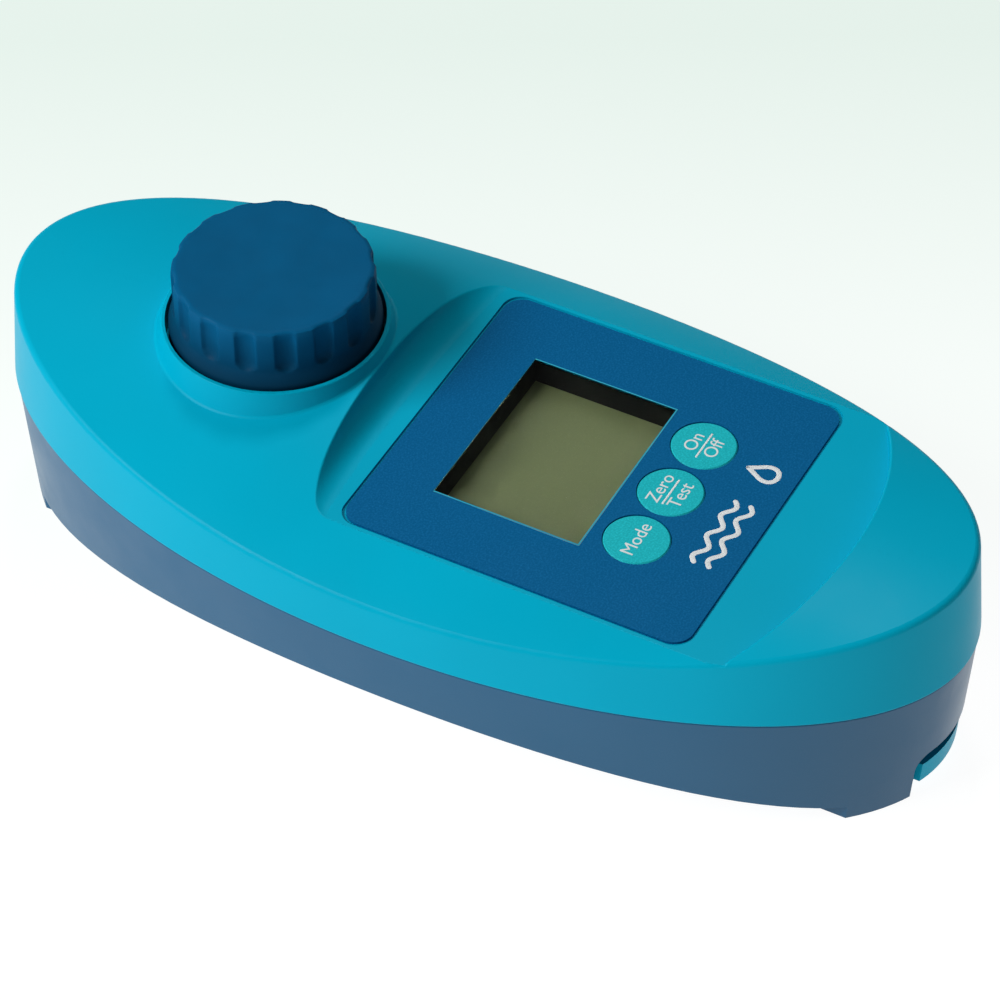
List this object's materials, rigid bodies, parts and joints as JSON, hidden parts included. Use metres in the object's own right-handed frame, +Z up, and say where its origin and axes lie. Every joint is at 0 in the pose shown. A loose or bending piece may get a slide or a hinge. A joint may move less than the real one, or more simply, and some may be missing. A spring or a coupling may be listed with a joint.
{
  "type": "digital water tester",
  "caption": "Hand-held photometer for pool water: oval two-shell housing with a display, three keys, a sample well under a fluted cap and a battery bay underneath.",
  "frame": {"origin": "on the surface the feet stand on, under the middle of the oval housing", "axes": "+X to the user's right, +Y along the housing from the keys towards the sample well, +Z up out of the front face"},
  "size_m": [0.075, 0.155, 0.05],
  "materials": {
    "turquoise_plastic": "moulded, fine spark-eroded texture",
    "navy_plastic": "moulded, fine spark-eroded texture",
    "cap_plastic": "moulded, fine matt texture",
    "insert_plastic": "moulded, smooth",
    "foil_print": "printed polyester foil, fine grained",
    "clear_window": "clear, glossy",
    "key_plastic": "printed, fine grained",
    "display_grey_green": "reflective liquid crystal glass",
    "black_plastic": "moulded, matt",
    "silicone_grey": "soft",
    "seal_rubber": "soft",
    "board_green": "solder-masked glass fibre board",
    "component_black": "moulded",
    "switch_steel": "stamped",
    "screw_steel": "plated",
    "contact_nickel": "nickel plated",
    "cell_jacket": "printed jacket",
    "chamber_clear": "clear acrylic, polished",
    "source_green": "tinted epoxy",
    "source_amber": "tinted epoxy",
    "sensor_dark": "dark epoxy",
    "connector_white": "nylon",
    "plate_silver": "printed polyester, blank"
  },
  "bodies": {
    "housing": {"top_cover": "turquoise_plastic", "base_shell": "navy_plastic", "housing_seal": "seal_rubber", "housing_screws": "screw_steel", "rating_plate": "plate_silver", "left_cell": "cell_jacket", "right_cell": "cell_jacket", "cell_springs": "contact_nickel", "contact_plates": "contact_nickel", "front_foil": "foil_print", "display_window": "clear_window", "display_glass": "display_grey_green", "display_frame": "black_plastic", "conductive_strips": "silicone_grey", "main_board": "board_green", "board_screws": "screw_steel", "key_switches": "switch_steel", "controller_chip": "component_black", "board_components": "component_black", "battery_connector": "connector_white", "sample_chamber": "chamber_clear", "chamber_gasket": "seal_rubber", "optics_holder": "black_plastic", "green_source": "source_green", "amber_source": "source_amber", "light_sensor": "sensor_dark"},
    "mode_key": {"mode_key": "key_plastic"},
    "zero_test_key": {"zero_test_key": "key_plastic"},
    "power_key": {"power_key": "key_plastic"},
    "battery_door": {"battery_cover": "turquoise_plastic", "battery_cover_screws": "screw_steel", "battery_seal": "seal_rubber"},
    "cap_plug": {"cap_insert": "insert_plastic", "cap_ring": "seal_rubber"},
    "cap_knob": {"chamber_cap": "cap_plastic"}
  },
  "joints": [
    {"name": "cap_lift", "type": "slide", "parent": "housing", "child": "cap_plug", "axis": [0, 0, 1], "range_m": [0, 0.045]},
    {"name": "cap_turn", "type": "hinge", "parent": "cap_plug", "child": "cap_knob", "pos_m": [0, 0.0343, 0.044], "axis": [0, 0, 1], "continuous": true},
    {"name": "mode_press", "type": "slide", "parent": "housing", "child": "mode_key", "axis": [0, 0, -1], "range_m": [0, 0.0004], "stiffness_N_per_m": 1200, "springref_m": -0.0008},
    {"name": "zero_test_press", "type": "slide", "parent": "housing", "child": "zero_test_key", "axis": [0, 0, -1], "range_m": [0, 0.0004], "stiffness_N_per_m": 1200, "springref_m": -0.0008},
    {"name": "power_press", "type": "slide", "parent": "housing", "child": "power_key", "axis": [0, 0, -1], "range_m": [0, 0.0004], "stiffness_N_per_m": 1200, "springref_m": -0.0008},
    {"name": "battery_door_lift", "type": "slide", "parent": "housing", "child": "battery_door", "axis": [0, 0, -1], "range_m": [0, 0.03]}
  ]
}
